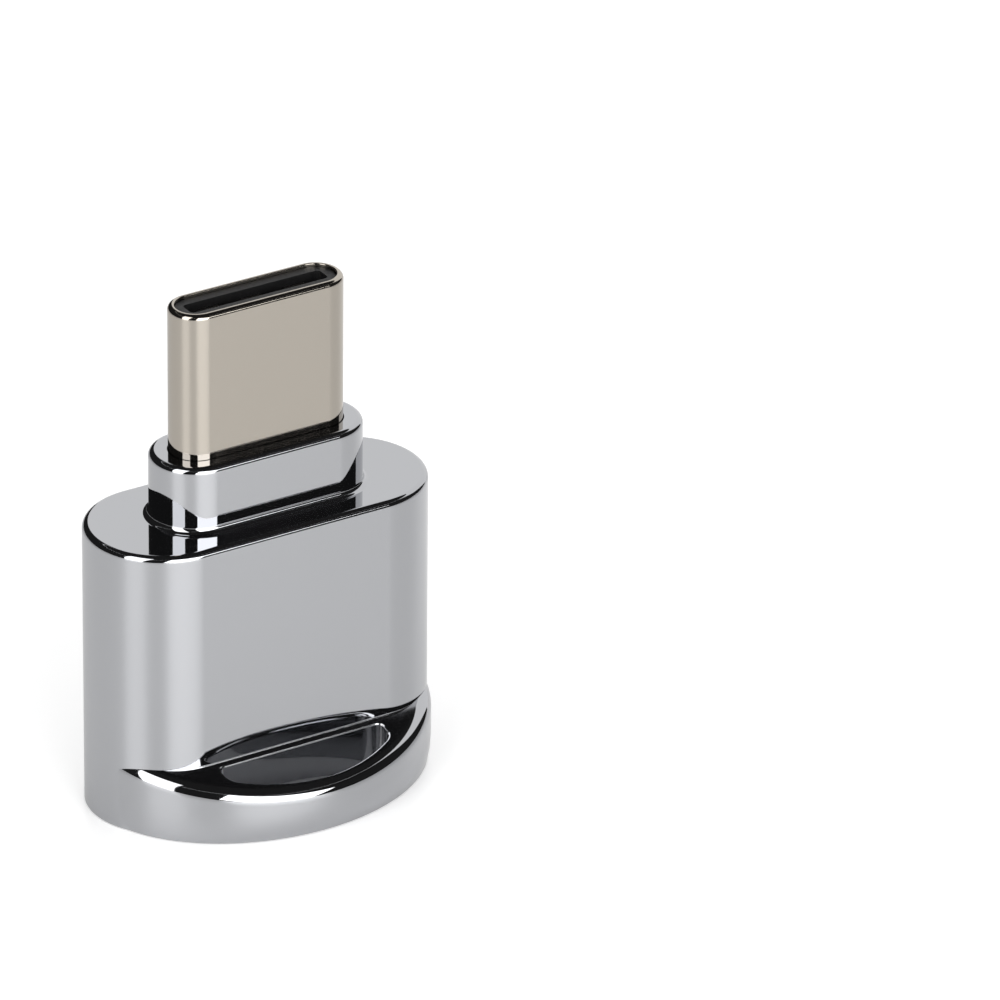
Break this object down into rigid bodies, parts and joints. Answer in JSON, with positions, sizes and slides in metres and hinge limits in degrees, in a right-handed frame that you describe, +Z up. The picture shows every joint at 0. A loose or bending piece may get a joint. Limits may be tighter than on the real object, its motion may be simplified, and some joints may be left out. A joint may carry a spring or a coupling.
{
  "type": "usb memory card reader",
  "caption": "Pocket memory card reader in a polished obround metal housing, with a reversible plug on its neck, a card slot at the other end and a lanyard hole through the lip.",
  "frame": {"origin": "on the plug axis, in the plane of the slot end that it stands on", "axes": "+X across the width, -Y towards the lip, +Z up towards the plug tip"},
  "size_m": [0.016, 0.0098, 0.0231],
  "materials": {
    "chrome_plate": "polished chrome plate on a zinc casting",
    "nickel_steel": "bright nickel plate on drawn steel",
    "smoky_plastic": "polished smoky clear moulding",
    "black_plastic": "moulded matt",
    "gold_contact": "gold plated",
    "spring_steel": "stamped sheet",
    "board_laminate": "glass fibre laminate with solder mask",
    "chip_epoxy": "moulded matt",
    "tin_plate": "tinned",
    "capacitor_ceramic": "fired ceramic",
    "resistor_ceramic": "glazed ceramic"
  },
  "bodies": {
    "root": {"housing": "chrome_plate", "end_insert": "smoky_plastic", "plug_shell": "nickel_steel", "plug_insulator": "black_plastic", "front_contacts": "gold_contact", "back_contacts": "gold_contact", "latch_plate": "spring_steel", "front_ground_spring": "spring_steel", "back_ground_spring": "spring_steel", "plug_holder": "black_plastic", "circuit_board": "board_laminate", "controller_chip": "chip_epoxy", "controller_leads": "tin_plate", "capacitor_bodies": "capacitor_ceramic", "capacitor_terminals": "tin_plate", "resistor_bodies": "resistor_ceramic", "resistor_terminals": "tin_plate", "card_contact_carrier": "black_plastic", "card_contacts": "gold_contact", "card_guide": "spring_steel"}
  },
  "joints": []
}
